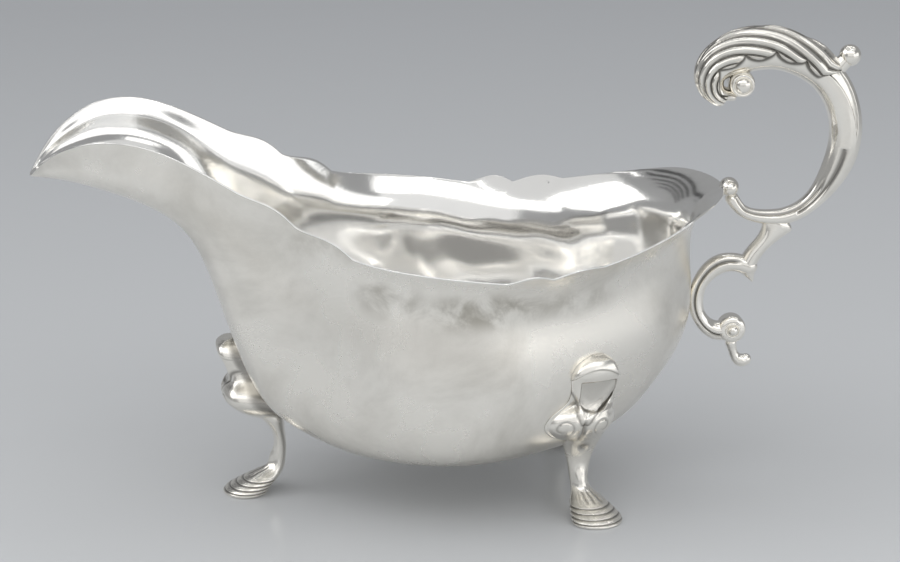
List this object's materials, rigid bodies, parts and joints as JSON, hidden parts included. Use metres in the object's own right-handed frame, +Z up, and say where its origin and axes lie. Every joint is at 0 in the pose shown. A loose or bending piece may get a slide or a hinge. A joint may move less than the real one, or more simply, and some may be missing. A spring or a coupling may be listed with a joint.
{
  "type": "sauce boat",
  "caption": "Silver sauce boat with a long high pouring lip, a waved rim, a double-scroll handle under a fluted leaf, and cast legs ending in hoof feet.",
  "frame": {"origin": "on the floor, under the middle of the length between the tip of the lip and the back of the handle, on the mirror plane", "axes": "+X towards the handle with the lip pointing along -X, +Z up, +Y across to the right-hand side seen from the handle; the plane y = 0 is the mirror plane"},
  "size_m": [0.21, 0.0954, 0.1195],
  "materials": {
    "raised_sheet": "hand-polished silver with fine wear",
    "cast_handle": "bright polished cast silver",
    "cast_feet": "bright polished cast silver"
  },
  "bodies": {
    "root": {"bowl": "raised_sheet", "handle_upper_scroll": "cast_handle", "handle_leaf_cap": "cast_handle", "handle_thumb_knob": "cast_handle", "handle_rim_bead": "cast_handle", "handle_strut": "cast_handle", "handle_lower_scroll": "cast_handle", "handle_tail": "cast_handle", "handle_curl_button_left": "cast_handle", "handle_curl_button_right": "cast_handle", "handle_lower_button_left": "cast_handle", "handle_lower_button_right": "cast_handle", "front_leg": "cast_feet", "front_knee_plate": "cast_feet", "left_leg": "cast_feet", "left_knee_plate": "cast_feet", "right_leg": "cast_feet", "right_knee_plate": "cast_feet"}
  },
  "joints": []
}
